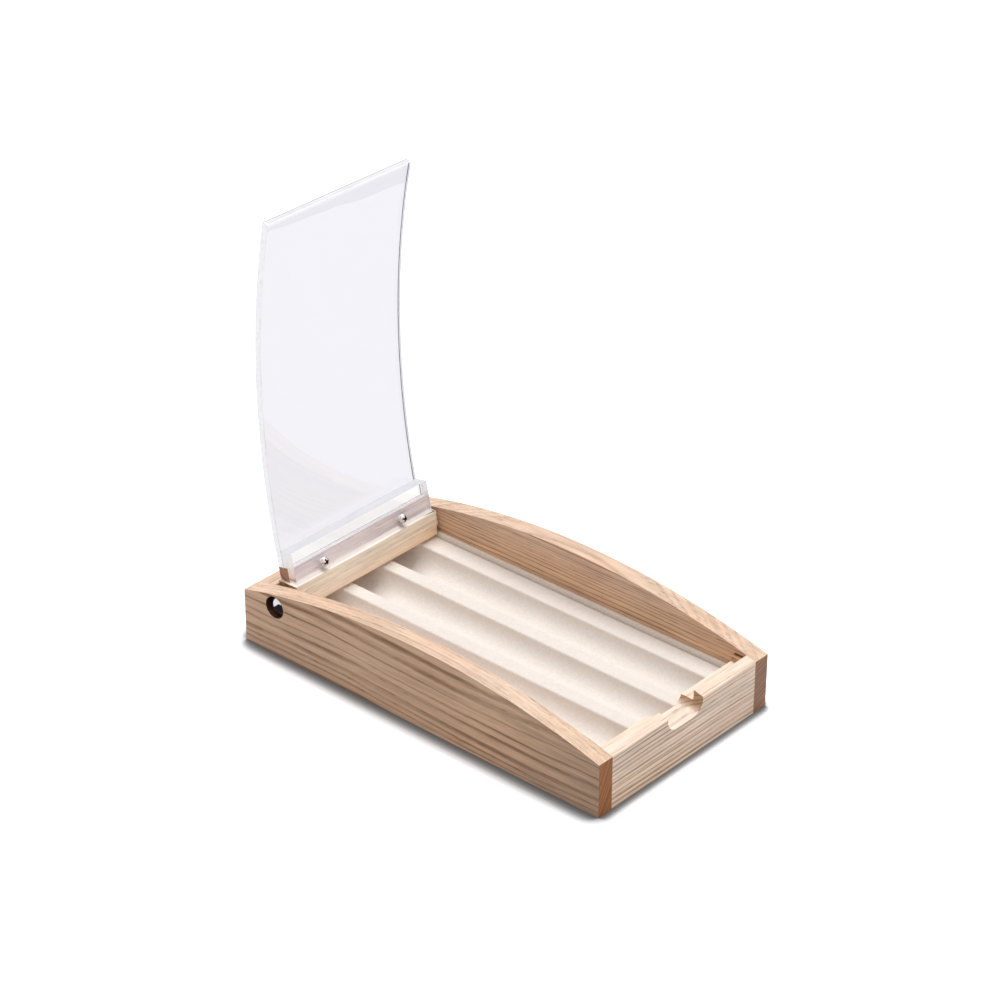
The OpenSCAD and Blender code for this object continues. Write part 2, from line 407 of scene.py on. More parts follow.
class Graph:
    """The nodes of a material or a world, built one node at a time."""

    def __init__(self, owner):
        self.owner = owner
        owner.use_nodes = True
        self.tree = owner.node_tree
        self.tree.nodes.clear()

    def add(self, kind, inputs=None, output=0, **settings):
        """One node. Inputs are sockets or values, and the chosen output is returned."""
        node = self.tree.nodes.new("ShaderNode" + kind)
        for key, value in settings.items():
            setattr(node, key, value)
        for key, value in (inputs or {}).items():
            if isinstance(value, bpy.types.NodeSocket):
                self.tree.links.new(value, node.inputs[key])
            else:
                node.inputs[key].default_value = value
        return node.outputs[output]

    def math(self, operation, a, b=0.0, clamp=False):
        """Two values put together."""
        return self.add("Math", {0: a, 1: b}, operation=operation, use_clamp=clamp)

    def product(self, a, b):
        """Two values multiplied."""
        return self.math("MULTIPLY", a, b)

    def total(self, first, *others):
        """The sum of the values."""
        for other in others:
            first = self.math("ADD", first, other)
        return first

    def rest(self, value):
        """What is missing from 1."""
        return self.math("SUBTRACT", 1.0, value)

    def ramp(self, value, low, high):
        """0 below low, 1 above high and smooth between them."""
        inputs = {"Value": value, "From Min": low, "From Max": high}
        return self.add("MapRange", inputs, interpolation_type="SMOOTHSTEP")

    def vector(self, x, y, z):
        """Three values as a vector."""
        return self.add("CombineXYZ", {0: x, 1: y, 2: z})

    def noise(self, vector, scale=1.0, detail=2.0, roughness=0.5):
        """Noise about 0.5, with that many waves to a metre."""
        inputs = {"Vector": vector, "Scale": scale, "Detail": detail, "Roughness": roughness}
        return self.add("TexNoise", inputs)

    def place(self):
        """Where a point lies in the model's frame."""
        return self.add("TexCoord", output="Object")

    def mix(self, factor, a, b, blend="MIX"):
        """Two colours mixed by a factor."""
        inputs = {0: factor, 6: a, 7: b}
        return self.add("Mix", inputs, output=2, data_type="RGBA", blend_type=blend)

    def tinged(self, factor, base, tint):
        """A colour, multiplied by a tint as far as the factor says."""
        return self.mix(factor, base, self.mix(1.0, base, tint, "MULTIPLY"))

    def toned(self, base, tone):
        """A colour at that brightness."""
        shade = self.add("CombineColor", {0: tone, 1: tone, 2: tone})
        return self.mix(1.0, base, shade, "MULTIPLY")

    def bump(self, strength, distance, height):
        """The normal of a surface with that relief."""
        return self.add("Bump", {"Strength": strength, "Distance": distance, "Height": height})

    def finish(self, surface):
        """Links the surface to the output, and returns the material or world."""
        kind = "World" if isinstance(self.owner, bpy.types.World) else "Material"
        output = self.tree.nodes.new("ShaderNodeOutput" + kind)
        self.tree.links.new(surface, output.inputs["Surface"])
        return self.owner

    def finish_principled(self, **inputs):
        """The material with a principled shader. Base_Color stands for its Base Color."""
        named = {key.replace("_", " "): value for key, value in inputs.items()}
        return self.finish(self.add("BsdfPrincipled", named))


def new_graph(name):
    """The graph of a new material."""
    return Graph(bpy.data.materials.new(name))


class Board(Graph):
    """The material of an ash board whose grain runs along the X or the Y axis."""

    def __init__(self, name, grain, seed):
        super().__init__(bpy.data.materials.new(name))
        self.seed = seed
        x, y, self.z = self.add("SeparateXYZ", {0: self.place()}).node.outputs
        self.along, self.across = (x, y) if grain == "X" else (y, x)
        self.shifted_across = self.total(self.across, seed * 0.137)
        self.shifted_along = self.total(self.along, seed * 0.213)
        self.shifted_z = self.total(self.z, seed * 0.071)
        normal = self.add("SeparateXYZ", {0: self.add("TexCoord", output="Normal")}).node
        self.upwards = self.ramp(normal.outputs["Z"], 0.55, 0.9)
        self.upright = self.rest(self.upwards)
        self.facing = self.math("ABSOLUTE", normal.outputs[grain])

    def figure(self, waves_across, waves_along, detail=2.0, roughness=0.5):
        """Noise about 0, drawn out along the grain."""
        vector = self.vector(
            self.product(self.shifted_across, waves_across),
            self.product(self.shifted_along, waves_along),
            self.product(self.shifted_z, waves_across),
        )
        return self.math("SUBTRACT", self.noise(vector, 1.0, detail, roughness), 0.5)

    def growth(self, heart, ring):
        """The distance from the heart of the log, and how far a point is in a year's dark line."""
        du = self.math("SUBTRACT", self.across, heart[0])
        dv = self.math("SUBTRACT", self.z, heart[1])
        radius = self.math("SQRT", self.total(self.product(du, du), self.product(dv, dv)))
        wave = self.product(self.figure(24, 9, 1.0), mm(3.4))
        ripple = self.product(self.figure(180, 30), mm(0.7))
        years = self.math("DIVIDE", self.total(radius, wave, ripple), ring)
        lean_years = self.noise(self.vector(years, 0.0, self.seed), 0.7)
        phase = self.math("FRACT", self.total(years, self.product(lean_years, 2.6)))
        rise = self.ramp(phase, 0.0, 0.24)
        fall = self.math("POWER", self.rest(self.ramp(phase, 0.24, 0.70)), 1.5)
        return radius, self.math("MULTIPLY", rise, fall, clamp=True)

    def end_grain(self, radius, early, end):
        """The colour of a cut end: rings, fine lines beside them and open pores."""
        fine_rings = self.noise(self.vector(self.product(radius, 1500.0), self.seed, 0.0), 1.0, 3.0, 0.6)
        pores = self.noise(self.vector(self.across, self.along, self.z), 1500.0)
        wood = self.mix(self.product(early, 0.95), end, darker(end, 0.52))
        wood = self.tinged(self.ramp(fine_rings, 0.35, 0.75), wood, (0.78, 0.70, 0.62, 1.0))
        return self.mix(self.product(self.ramp(pores, 0.5, 0.66), 0.4), wood, darker(end, 0.5))


def heart_line(centre, lean_deg, distance):
    """Where the heart of a log lies, so that its rings cross centre at lean_deg from the level."""
    lean = math.radians(lean_deg)
    return (centre[0] - distance * math.sin(lean), centre[1] + distance * math.cos(lean))


def ash(
    name, grain, heart, ring, pale, dark, end, seed,
    contrast=1.0, low=None, low_top=mm(38), end_reach=(0.70, 0.97), notch_shade=0.0,
):
    """Ash wood. Its growth rings are cylinders about a heart that runs along the grain.

    heart is that line's place across the grain, ring the width of a year's growth, end
    the colour of the end grain, and low a colour painted on the board's upright faces
    below low_top as their shading. end_reach says how far a face turns from flat to full
    end grain, and notch_shade how much darker the upright faces get towards the notch.
    """
    g = Board(name, grain, seed)
    radius, early = g.growth(heart, ring)

    # The pale wood, in three tints that shift slowly over the board, with the low colour
    # painted on the upright faces below low_top as their shading.
    body = pale
    if low is not None:
        height = g.total(g.z, g.product(g.figure(60, 8), mm(16)))
        sunk = g.rest(g.ramp(height, low_top - mm(18), low_top))
        body = g.mix(g.product(sunk, g.upright), pale, low)
    body = g.tinged(g.ramp(g.figure(45, 10), -0.2, 0.2), body, (1.0, 0.955, 0.90, 1.0))
    body = g.tinged(g.ramp(g.figure(70, 24), 0.0, 0.3), body, (1.0, 0.93, 0.93, 1.0))

    # The dark lines of the years, uneven along the grain and fainter on level faces.
    uneven = g.ramp(g.figure(110, 16), -0.18, 0.2)
    strength = g.total(0.38, g.product(uneven, 0.62))
    strength = g.product(strength, g.rest(g.product(g.upwards, 0.62)))
    line = g.math("MULTIPLY", early, g.product(strength, contrast), clamp=True)
    wood = g.mix(line, body, dark)

    # Fibres, streaks and dashes along the grain.
    fibre = g.figure(1500, 70, 3.0, 0.6)
    streak = g.figure(430, 22, 3.0, 0.6)
    dash = g.ramp(g.figure(1250, 120), 0.08, 0.2)
    notch_end = g.ramp(g.product(g.along, -1.0), mm(30), mm(104))
    shade = g.product(notch_end, g.upright)
    tone = g.total(
        1.0, g.product(fibre, 0.56), g.product(streak, 0.74), g.product(dash, -0.07),
        g.product(shade, -notch_shade),
    )
    wood = g.toned(wood, tone)

    # Open pores in the dark lines, and the end grain.
    pore = g.product(g.ramp(g.figure(2300, 150, 1.0), 0.08, 0.18), g.ramp(early, 0.1, 0.5))
    wood = g.mix(g.product(pore, 0.4), wood, darker(dark, 0.55))
    wood = g.mix(g.ramp(g.facing, *end_reach), wood, g.end_grain(radius, early, end))

    relief = g.total(g.product(fibre, 0.5), g.product(pore, -1.0), g.product(early, -0.35))
    return g.finish_principled(
        Base_Color=wood,
        Roughness=g.total(0.46, g.product(pore, 0.22)),
        Specular_IOR_Level=0.36,
        Normal=g.bump(0.5, mm(0.09), relief),
    )


def flock(name, tint):
    """Short velvety flock: a fine nap with soft, uneven shading."""
    g = new_graph(name)
    place = g.place()
    nap = g.noise(place, 1900.0, 3.0, 0.65)
    clump = g.noise(place, 760.0, 2.0, 0.6)
    brushed = g.noise(place, 60.0)
    tone = g.total(0.80, g.product(nap, 0.14), g.product(clump, 0.20), g.product(brushed, 0.06))
    return g.finish_principled(
        Base_Color=g.toned(tint, tone),
        Roughness=0.96,
        Specular_IOR_Level=0.12,
        Sheen_Weight=0.25,
        Sheen_Roughness=0.5,
        Normal=g.bump(0.6, mm(0.16), g.total(nap, g.product(clump, 0.6))),
    )


def clear_acrylic(name, tint, clarity, gloss):
    """Cast acrylic with the faint ripple of a bent sheet. Below a clarity of 1 it is hazy."""
    g = new_graph(name)
    ripple = g.noise(g.place(), 34.0, 1.0, 0.4)
    return g.finish_principled(
        Base_Color=tint,
        Roughness=0.0,
        IOR=1.49,
        Specular_IOR_Level=gloss,
        Transmission_Weight=clarity,
        Normal=g.bump(0.12, mm(0.12), ripple),
    )


def polished_painted_rim(name, tint, mirror):
    """The flame-polished rim of the acrylic, made opaque: its tint and its mirror paint the light and
    the reflections that the clear rim shows, as it mirrors like the inside of a prism.
    """
    g = new_graph(name)
    drawn_out = g.add("VectorMath", {0: g.place(), 1: (90.0, 700.0, 700.0)}, operation="MULTIPLY")
    marks = g.noise(drawn_out)
    return g.finish_principled(
        Base_Color=g.mix(g.ramp(marks, 0.35, 0.75), tint, darker(tint, 0.90)),
        Metallic=mirror,
        Roughness=g.total(0.12, g.product(marks, 0.16)),
    )


def plated(name, tint, roughness, scratch):
    """Polished plate with faint turning marks."""
    g = new_graph(name)
    marks = g.noise(g.place(), 900.0, 3.0, 0.6)
    return g.finish_principled(
        Base_Color=g.mix(g.product(marks, 0.2), tint, darker(tint, 0.8)),
        Metallic=1.0,
        Roughness=g.total(roughness, g.product(marks, scratch)),
    )


# ---------------------------------------------------------------- materials
pale_ash = colour(232, 203, 179)
dark_ash = colour(168, 124, 94)
end_ash = colour(180, 112, 54)
block_end = colour(205, 160, 130)
left_centre = (-(inner_half + case_half) / 2, end_height / 2)
right_centre = (-left_centre[0], left_centre[1])
front_centre = ((front_in - half_length) / 2, end_height / 2)
back_centre = ((back_in + half_length) / 2, end_height / 2)
left_heart = heart_line(left_centre, 62, mm(110))
block_heart = (mm(50), mm(90))
hidden_heart = (mm(0), mm(-200))

# The left wall's upright faces get the low colour up to the arch: painted shading of the faces turned
# from the light.
left_wood = ash(
    "ash_left_side", "Y", left_heart, mm(2.0), pale_ash, dark_ash, end_ash, seed=1.0,
    contrast=0.95, low=colour(241, 203, 173), low_top=mm(60), notch_shade=0.36,
)
# The right wall's low colour is painted shade on its upright faces low down, near the tray.
right_wood = ash(
    "ash_right_side", "Y", heart_line(right_centre, 200, mm(90)), mm(2.0),
    pale_ash, dark_ash, colour(172, 127, 98), seed=4.0, low=colour(226, 189, 156),
)
front_wood = ash(
    "ash_front", "X", heart_line(front_centre, 150, mm(120)), mm(2.1),
    colour(249, 228, 210), colour(180, 134, 99), colour(212, 172, 140), seed=2.0,
    contrast=1.12, end_reach=(0.4, 0.9),
)
back_wood = ash(
    "ash_back", "X", heart_line(back_centre, 210, mm(120)), mm(2.0),
    pale_ash, dark_ash, end_ash, seed=6.0,
)
# The block's low colour is painted shade on its face low down, near the tray.
block_wood = ash(
    "ash_block", "X", block_heart, mm(1.9),
    colour(255, 245, 230), colour(236, 202, 170), block_end, seed=9.0,
    contrast=0.5, low=colour(252, 204, 148), low_top=mm(28),
)
# Paler, pinker wood for the block's tongue under the clear strip: the glue's milky veil, with painted
# light for what the hazy strip scatters.
glue_and_painted_light_wood = ash(
    "ash_glued", "X", block_heart, mm(1.9),
    colour(240, 230, 236), colour(214, 190, 184), block_end, seed=9.0, contrast=0.5,
)
base_wood = ash("base_ply", "Y", hidden_heart, mm(3.0), pale_ash, dark_ash, end_ash, seed=12.0)
# Darker wood for the open end of the groove where the front wall is housed: painted shade.
joint_shade_wood = ash(
    "ash_joint", "Y", hidden_heart, mm(3.0), colour(204, 154, 118), dark_ash, end_ash, seed=3.0
)
# Dark wood for the inside of the pin's cup: painted shade in the recess.
cup_shade_wood = ash(
    "ash_cup", "Y", left_heart, mm(2.0),
    colour(84, 46, 36), colour(46, 22, 18), colour(60, 32, 24), seed=1.0,
)
tray_flock = flock("tray_flock", colour(241, 233, 226))
packer_flock = flock("packer_flock", colour(246, 236, 226))

# The lid's acrylic. Its rims and eased edges have opaque finishes of their own, because they
# show what the clear plastic mirrors inside itself: their tints and mirrors paint that light and those
# reflections.
lid_acrylic = clear_acrylic("lid_acrylic", colour(239, 238, 244), 1.0, 1.0)
lap_acrylic = clear_acrylic("lap_acrylic", colour(255, 254, 255), 1.0, 0.1)
strip_acrylic = clear_acrylic("strip_acrylic", colour(253, 254, 255), 0.985, 0.1)
lid_rim = polished_painted_rim("lid_rim", colour(240, 240, 244), 1.0)
# Painted grey reflection along the eased edges of the lid's outer face.
outer_arris = polished_painted_rim("outer_arris", colour(158, 158, 163), 0.8)
inner_arris = polished_painted_rim("inner_arris", colour(246, 246, 250), 1.0)
# Painted dark reflection along the open lid's top edge.
top_arris = polished_painted_rim("top_arris", colour(84, 84, 82), 0.1)
lid_end = polished_painted_rim("lid_end", colour(238, 238, 240), 0.0)
strip_rim = polished_painted_rim("strip_rim", colour(254, 252, 255), 0.6)
strip_arris = polished_painted_rim("strip_arris", colour(251, 250, 254), 0.2)
strip_top = polished_painted_rim("strip_top", colour(226, 226, 231), 0.0)
strip_bottom = polished_painted_rim("strip_bottom", colour(244, 233, 228), 0.0)

chrome = plated("pin_chrome", colour(226, 227, 231), 0.05, 0.05)
bright_steel = plated("screw_steel", colour(208, 198, 198), 0.22, 0.12)
# Dark steel for the screws' cross recesses: painted shade in the recess.
recess_shade_steel = plated("recess_shade_steel", colour(72, 44, 40), 0.5, 0.2)


# ---------------------------------------------------------------- pieces of the case
def base_pocket():
    """The room for the bottom board."""
    return block("pocket", (base_low.x, base_low.y, -over), base_high)


def end_tongues(low_y, high_y, top):
    """The tongues at both ends of an end wall, which sit in grooves of the side walls."""
    tongues = []
    for side in (-1, 1):
        start = side * (inner_half - root)
        reach = side * (inner_half + tongue_len)
        tongues.append(block("tongue", (start, low_y, 0.0), (reach, high_y, top)))
    return tongues


def near_joint(middle):
    """True where a side wall's inner edge meets an end wall."""
    at_face = abs(abs(middle.x) - inner_half) < nearer
    return at_face and (middle.y < front_in + near or middle.y > back_in - near)


def in_joint(centre, normal):
    """True in the open end of the joint between the front wall and a side wall, where the wood is
    painted darker as the shade in the groove.
    """
    in_groove = inner_half + nearer < abs(centre.x) < inner_half + tongue_len + nearer
    in_wall = -half_length + front_lip - nearer < centre.y < front_in + nearer
    return in_groove and in_wall and rest_z - soft_edge < centre.z < end_height + nearer


def wall_rule(middle):
    """Joint lines and the edges on the table stay crisp, and every other edge is eased."""
    if near_joint(middle) or middle.z < near:
        return joint_edge / soft_edge
    return 1.0


def scoop_rule(middle):
    """The scoop's edges are rounded more than the others."""
    at_scoop = abs(middle.x) < notch_half + near and middle.z > notch_floor - near
    return 1.0 if at_scoop else wall_rule(middle) * soft_edge / worn_edge


def side_wall(side):
    """An arched side wall with grooves for the end walls and a cup for the pin's head."""
    outline = [(-half_length, 0.0), (half_length, 0.0)]
    outline += arch_points(arch_r, half_length, -half_length, steps=120)
    wall = prism(hand(side) + "_wall_shaped", outline, "X", side * inner_half, side * case_half)
    start = side * (inner_half - over)
    reach = side * (inner_half + tongue_len)
    beyond = side * (case_half + over)
    front_start = (start, -half_length + front_lip, -over)
    front_groove = block("groove", front_start, (reach, front_in, end_height))
    back_end = (reach, back_in + back_tongue_t, back_tongue_top)
    back_groove = block("groove", (start, back_in, -over), back_end)
    bore = x_rod("bore", pin_r, start, beyond)
    cup = x_rod("cup", cup_r, side * (case_half - cup_depth), beyond, steps=96)
    combine(wall, [base_pocket(), front_groove, back_groove, bore, cup], "DIFFERENCE")
    ease(wall, soft_edge, wall_rule)

    def in_cup(centre, normal):
        off_axis = math.hypot(centre.y - pivot.y, centre.z - pivot.z)
        return off_axis < cup_r + nearer and abs(centre.x) > case_half - cup_depth - near

    # The cup and the open end of the front groove get darker wood: painted shade in these recesses.
    finishes(wall, (cup_shade_wood, in_cup), (joint_shade_wood, in_joint))
    return wall


def front_wall():
    """The front wall: a lip, the lower rest behind it, two tongues and the finger scoop."""
    lip_back = -half_length + front_lip
    outline = [(-half_length, 0.0), (front_in, 0.0), (front_in, rest_z), (lip_back, rest_z)]
    outline += arch_points(arch_r, lip_back, -half_length, steps=6)
    wall = prism("front_wall_shaped", outline, "X", -inner_half, inner_half)
    combine(wall, end_tongues(lip_back, front_in, end_height - tongue_drop), "UNION")
    flat = notch_half - notch_corner
    corner_z = notch_floor + notch_corner
    scoop = circle_points((-flat, corner_z), notch_corner, 180, 270, steps=14)
    scoop += circle_points((flat, corner_z), notch_corner, 270, 360, steps=14)
    scoop += [(notch_half, arch_top), (-notch_half, arch_top)]
    notch = prism("notch", scoop, "Y", -half_length - over, front_in + over)
    combine(wall, [base_pocket(), notch], "DIFFERENCE")
    ease(wall, worn_edge, scoop_rule)
    # The tongues' tops in the side walls' grooves get the darker wood as painted shade.
    finishes(wall, (joint_shade_wood, in_joint))
    return wall


def back_wall():
    """The back wall, with the slope that the open lid leans on."""
    outline = [(back_in, 0.0), (half_length, 0.0)]
    outline += arch_points(arch_r, half_length, back_in, steps=10)
    wall = prism("back_wall_shaped", outline, "X", -inner_half, inner_half)
    combine(wall, end_tongues(back_in, back_in + back_tongue_t, back_tongue_top), "UNION")
    depth = lid_r - math.hypot(pivot.y, pivot.z - arch_cz)
    lean = open_deg - 90 + math.degrees(math.asin(pivot.y / lid_r))
    past_tongues = inner_half + mm(9)
    slope = block(
        "slope",
        (-past_tongues, -clear_of_all, 0.0),
        (past_tongues, depth + stop_gap, clear_of_all),
    )
    turn(slope, Matrix.Translation(pivot) @ Matrix.Rotation(math.radians(-lean), 4, "X"))
    combine(wall, [base_pocket(), slope], "DIFFERENCE")
    ease(wall, soft_edge, wall_rule)
    return wall


def base_board():
    """The bottom board."""
    board = block("base_board", base_low, base_high)
    ease(board, board_edge)
    return board


def pen_tray():
    """The flocked tray: three round troughs between flat ridges with rounded edges."""
    half = tray_high.x
    top = tray_high.z
    eased = top - ridge_round
    turn_deg = math.degrees(math.asin(ridge_round / (trough_r + ridge_round)))
    across = (trough_r + ridge_round) * math.cos(math.radians(turn_deg))
    outline = [(half, tray_low.z), (-half, tray_low.z)]
    outline += circle_points((-half + ridge_round, eased), ridge_round, 180, 90, steps=5)
    for n in (-1, 0, 1):
        centre = n * trough_pitch
        outline += circle_points((centre - across, eased), ridge_round, 90, turn_deg, steps=6)
        trough = circle_points((centre, top), trough_r, 180 + turn_deg, 360 - turn_deg, steps=40)
        outline += trough[1:-1]
        outline += circle_points((centre + across, eased), ridge_round, 180 - turn_deg, 90, steps=6)
    outline += circle_points((half - ridge_round, eased), ridge_round, 90, 0, steps=5)
    tray = prism("flocked_tray", outline, "Y", tray_low.y, tray_high.y)
    smooth(tray)
    return tray


def packer(side):
    """A flocked packing strip between the tray and a side wall."""
    low = (side * packer_low.x, packer_low.y, packer_low.z)
    high = (side * packer_high.x, packer_high.y, packer_high.z)
    strip = block(hand(side) + "_packer_shaped", low, high)
    ease(strip, packer_edge)
    return strip


def hinge_pin(side):
    """A hinge pin with a polished domed head, which sits in the side wall's cup."""
    cup_x = case_half - cup_depth
    tip = block_half - pin_reach - cup_x
    profile = [(0.0, tip), (pin_tip_r, tip), (pin_r, tip + pin_tip_len), (pin_r, 0.0)]
    profile += [(head_r - head_edge, 0.0), (head_r, head_edge)]
    profile += [(radius, rim_h + height) for radius, height in dome_profile(head_r, dome_h, steps=14)]
    pin = lathe(hand(side) + "_pin_turned", profile, steps=72)
    smooth(pin, sharp_deg=40)
    turn(pin, Matrix.Translation((cup_x, 0, 0)) @ Matrix.Rotation(math.radians(90), 4, "Y"))
    if side < 0:
        turn(pin, Matrix.Rotation(math.radians(180), 4, "Z"))
    turn(pin, Matrix.Translation(pivot))
    return pin


def hinge_spacer(side):
    """A spacer ring on the pin, between the side wall and the block."""
    low = block_half + spacer_gap
    outer = spacer_r - spacer_edge
    profile = [(pin_r, low), (outer, low), (spacer_r, low + spacer_edge)]
    profile += [(spacer_r, inner_half - spacer_edge), (outer, inner_half), (pin_r, inner_half)]
    ring = lathe(hand(side) + "_spacer_turned", profile, steps=48)
    smooth(ring)
    turn(ring, Matrix.Translation(pivot) @ Matrix.Rotation(math.radians(90 * side), 4, "Y"))
    return ring


# ---------------------------------------------------------------- pieces of the lid, modelled shut
def hinge_block():
    """The turning wooden block: a knuckle round the pins and a thin tongue for the lid."""
    floor = pivot.z - knuckle_under
    start_deg = -math.degrees(math.asin(knuckle_under / knuckle_r))
    outline = [(ledge_y, floor)]
    outline += circle_points((pivot.y, pivot.z), knuckle_r, start_deg, 90, steps=40)
    outline += [(pivot.y, arch_top), (ledge_y, arch_top)]
    knuckle = prism("hinge_block_shaped", outline, "X", -block_half, block_half)
    root_a = math.asin((ledge_y + root) / lid_r)
    reach = ring_points(lid_r - tongue_t, tongue_a, root_a, steps=8)
    reach += ring_points(lid_r, root_a, tongue_a, steps=8)
    combine(knuckle, [prism("tongue", reach, "X", -lid_half, lid_half)], "UNION")
    sky_front = tongue_y - mm(5)
    sky_top = arch_top + mm(20)
    sky = arch_points(lid_r, sky_front, half_length, steps=40)
    sky += [(half_length, sky_top), (sky_front, sky_top)]
    cuts = [prism("above", sky, "X", -case_half, case_half)]
    bore_end = block_half - pin_reach - bore_end_gap
    cuts.append(x_rod("bore", bore_r, -block_half - over, -bore_end))
    cuts.append(x_rod("bore", bore_r, bore_end, block_half + over))
    combine(knuckle, cuts, "DIFFERENCE")

    def block_rule(middle):
        return 1.0 if abs(middle.x) > block_half - near else soft_edge / worn_edge

    ease(knuckle, worn_edge, block_rule)

    def at_strip(centre, normal):
        off_centre = math.hypot(centre.y, centre.z - arch_cz)
        under = abs(off_centre - (lid_r - tongue_t)) < 2 * near and centre.y < ledge_y
        at_tip = centre.y < tongue_y + mm(1) and abs(normal.x) < 0.5
        return under or at_tip

    # The faces under the strip get the paler wood: the glue's veil and painted light from the hazy
    # strip.
    finishes(knuckle, (glue_and_painted_light_wood, at_strip))
    opened(knuckle)
    return knuckle


def lid_axes(centre, normal):
    """How far a face of the shut lid looks sideways, outwards and along the arch."""
    outwards = Vector((0, centre.y, centre.z - arch_cz)).normalized()
    along = Vector((0, outwards.z, -outwards.y))
    return normal.x, normal.dot(outwards), normal.dot(along)


def on_arris(centre, normal):
    """True on the eased edges of the acrylic."""
    return max(abs(share) for share in lid_axes(centre, normal)) < squarely


def on_outer_arris(centre, normal):
    """True on the eased edges of the lid's outer face, apart from those at the hinge."""
    _, outwards, along = lid_axes(centre, normal)
    return on_arris(centre, normal) and outwards > 0.1 and along < 0.2


def on_top_arris(centre, normal):
    """True on the eased outer edge of the lid's end, which is its top when the lid is open."""
    _, outwards, along = lid_axes(centre, normal)
    return on_arris(centre, normal) and outwards > 0.1 and along < -0.1


def on_side(centre, normal):
    """True on the acrylic's left and right rims."""
    return abs(normal.x) > squarely


def on_front_end(centre, normal):
    """True on the rims that look towards the notch, which is up when the lid is open."""
    return lid_axes(centre, normal)[2] < -squarely


def on_back_end(centre, normal):
    """True on the rims that look towards the hinge."""
    return lid_axes(centre, normal)[2] > squarely


def lid_sheet():
    """The bent clear sheet, with polished edges."""
    sheet_end_a = tongue_a - film_gap / lid_r
    outer_r = lid_r - skin_gap
    outline = ring_points(outer_r, lid_front_a, sheet_end_a, steps=96)
    outline += ring_points(sheet_in_r, sheet_end_a, lid_front_a, steps=96)
    sheet = prism("clear_sheet", outline, "X", -lid_half, lid_half)

    def sheet_rule(middle):
        off_centre = math.hypot(middle.y, middle.z - arch_cz)
        at_top = off_centre > outer_r - near and middle.y < lid_r * math.sin(lid_front_a) + near
        between_sides = abs(middle.x) < lid_half - mm(1)
        return 1.0 if at_top and between_sides else polished_edge / top_edge

    def under_strip(centre, normal):
        return centre.y > tongue_y - strip_lap + mm(0.5)

    ease(sheet, top_edge, sheet_rule)
    finishes(
        sheet,
        (top_arris, on_top_arris),
        (outer_arris, on_outer_arris),
        (inner_arris, on_arris),
        (lid_rim, on_side),
        (lid_end, on_front_end),
        (lid_end, on_back_end),
        (lap_acrylic, under_strip),
    )
    opened(sheet)
    return sheet


def at_screw(side):
    """The matrix that puts a piece made about the origin at a screw, on the strip's inner face."""
    tilt = Matrix.Rotation(-screw_a, 4, "X")
    centre = Matrix.Translation((side * screw_half_spacing, 0, arch_cz))
    return centre @ tilt @ Matrix.Translation((0, 0, strip_in_r))


def lid_strip():
    """The clear splice strip: it laps over the sheet and over the block's tongue."""
    tongue_in = lid_r - tongue_t - film_gap
    inner_end = math.asin((ledge_y - film_gap) / strip_in_r)
    outer_end = math.asin((ledge_y - film_gap) / tongue_in)
    lap_a = math.asin((tongue_y - strip_lap) / lid_r)
    outline = ring_points(strip_in_r, lap_a, inner_end, steps=24)
    outline += ring_points(tongue_in, outer_end, tongue_a, steps=12)
    outline += ring_points(sheet_in_r - film_gap, tongue_a, lap_a, steps=12)
    strip = prism("clear_strip", outline, "X", -lid_half, lid_half)
    below, above = -mm(2), mm(12)
    bores = []
    for side in (-1, 1):
        profile = [(0, below), (screw_bore_r, below), (screw_bore_r, above), (0, above)]
        bore = lathe("bore", profile, steps=48)
        turn(bore, at_screw(side))
        bores.append(bore)
    combine(strip, bores, "DIFFERENCE")
    ease(strip, polished_edge)
    finishes(
        strip,
        (strip_arris, on_arris),
        (strip_rim, on_side),
        (strip_top, on_front_end),
        (strip_bottom, on_back_end),
    )
    opened(strip)
    return strip


def cross_recess(side):
    """The cuts of a screw's cross recess: two crossed arms and a pit at their middle."""
    sky = -screw_head_h - over
    cuts = []
    for arm_deg in (0, 90):
        arm = block(
            "arm",
            (-cross_len / 2, -cross_w / 2, sky),
            (cross_len / 2, cross_w / 2, -screw_head_h + cross_depth),
        )
        turn(arm, Matrix.Rotation(math.radians(arm_deg + cross_turn_deg * side), 4, "Z"))
        cuts.append(arm)
    profile = [(0, sky), (pit_r, sky), (pit_r, -screw_head_h)]
    profile += [(pit_floor_r, -screw_head_h + pit_depth), (0, -screw_head_h + pit_depth)]
    cuts.append(lathe("pit", profile, steps=24))
    return cuts


def lid_screw(side):
    """A round-headed screw with a cross recess."""
    length = sheet_t + strip_t - tongue_t + screw_bite
    head = dome_profile(screw_head_r, screw_head_h, steps=10)
    profile = [(radius, -height) for radius, height in reversed(head)]
    profile += [(screw_r, 0.0), (screw_r, length - screw_r), (0.0, length)]
    screw = lathe(hand(side) + "_screw_turned", profile, steps=48)
    combine(screw, cross_recess(side), "DIFFERENCE")
    ball = ball_radius(screw_head_r, screw_head_h)
    ball_centre = Vector((0, 0, ball - screw_head_h))

    def in_recess(centre, normal):
        inside = (centre - ball_centre).length < ball - mm(0.03)
        return inside and centre.z < -near and math.hypot(centre.x, centre.y) < cross_len / 2

    # The recess's faces get the dark steel as painted shade.
    finishes(screw, (recess_shade_steel, in_recess))
    smooth(screw)
    turn(screw, at_screw(side))
    opened(screw)
    return screw


